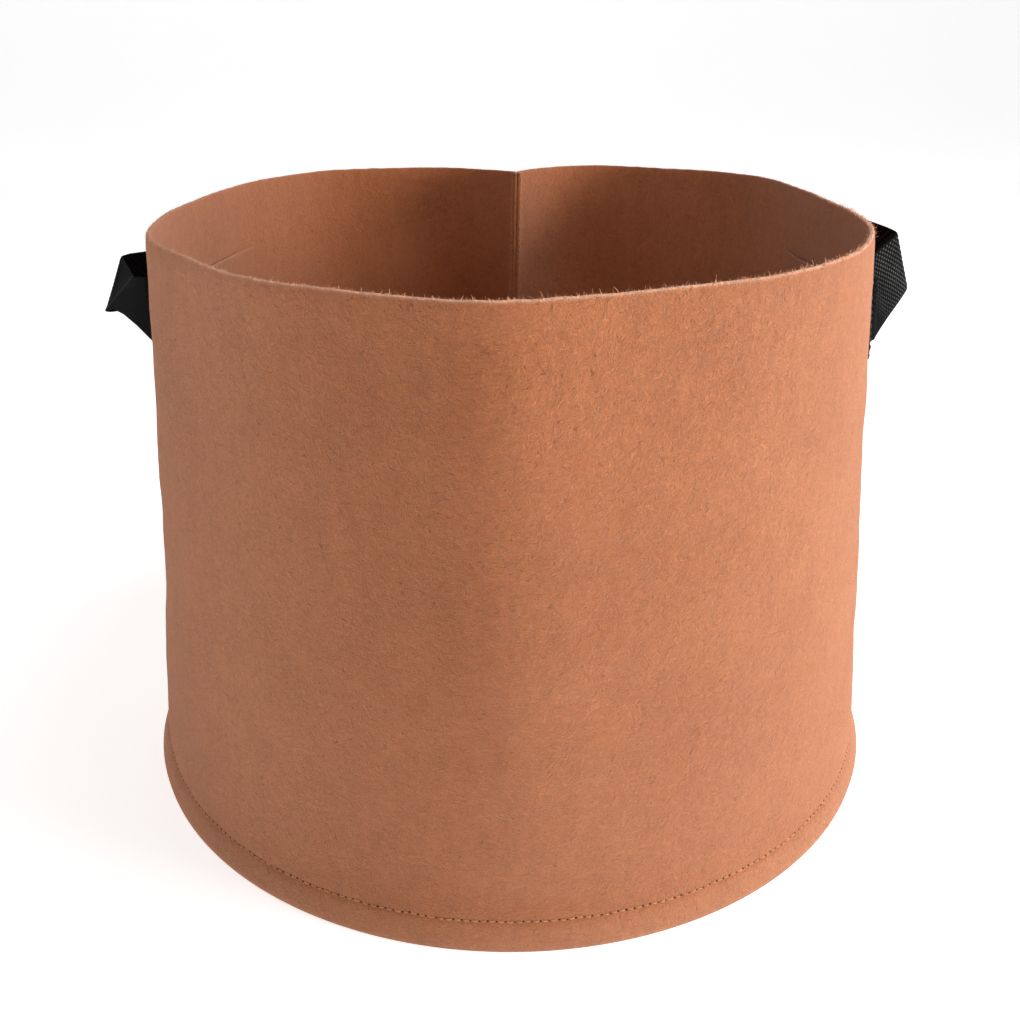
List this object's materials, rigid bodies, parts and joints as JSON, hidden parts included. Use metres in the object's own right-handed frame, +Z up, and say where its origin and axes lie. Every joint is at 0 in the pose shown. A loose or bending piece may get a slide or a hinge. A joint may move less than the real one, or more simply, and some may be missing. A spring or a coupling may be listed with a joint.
{
  "type": "fabric grow bag",
  "caption": "Round open-topped grow bag of sewn felt for growing plants, narrower at the rim than at the foot, with a webbing strap handle on each side.",
  "frame": {"origin": "middle of the round base, on the surface that the bag stands on", "axes": "+Z up out of the mouth, front towards -Y and back seam towards +Y, handles on -X and +X"},
  "size_m": [0.3817, 0.385, 0.251],
  "materials": {
    "felt": "thick non-woven felt, terracotta, slightly fuzzy",
    "webbing": "black woven polypropylene webbing",
    "seam_thread": "twisted sewing thread near the felt's colour",
    "strap_thread": "black sewing thread"
  },
  "bodies": {
    "bag": {"wall_panel": "felt", "base_panel": "felt", "left_inner_patch": "felt", "right_inner_patch": "felt", "side_seam_thread": "seam_thread", "base_seam_thread": "seam_thread", "left_strap_front_end": "webbing", "left_strap_rear_end": "webbing", "right_strap_front_end": "webbing", "right_strap_rear_end": "webbing", "left_front_box_stitch": "strap_thread", "left_rear_box_stitch": "strap_thread", "right_front_box_stitch": "strap_thread", "right_rear_box_stitch": "strap_thread"},
    "left_handle": {"left_strap_loop": "webbing"},
    "right_handle": {"right_strap_loop": "webbing"}
  },
  "joints": [
    {"name": "left_handle_swing", "type": "hinge", "parent": "bag", "child": "left_handle", "pos_m": [-0.163, 0.0125, 0.2129], "axis": [0, 1, 0], "range_deg": [-78, 68]},
    {"name": "right_handle_swing", "type": "hinge", "parent": "bag", "child": "right_handle", "pos_m": [0.166, 0.0129, 0.2192], "axis": [0, -1, 0], "range_deg": [-75, 60]}
  ]
}
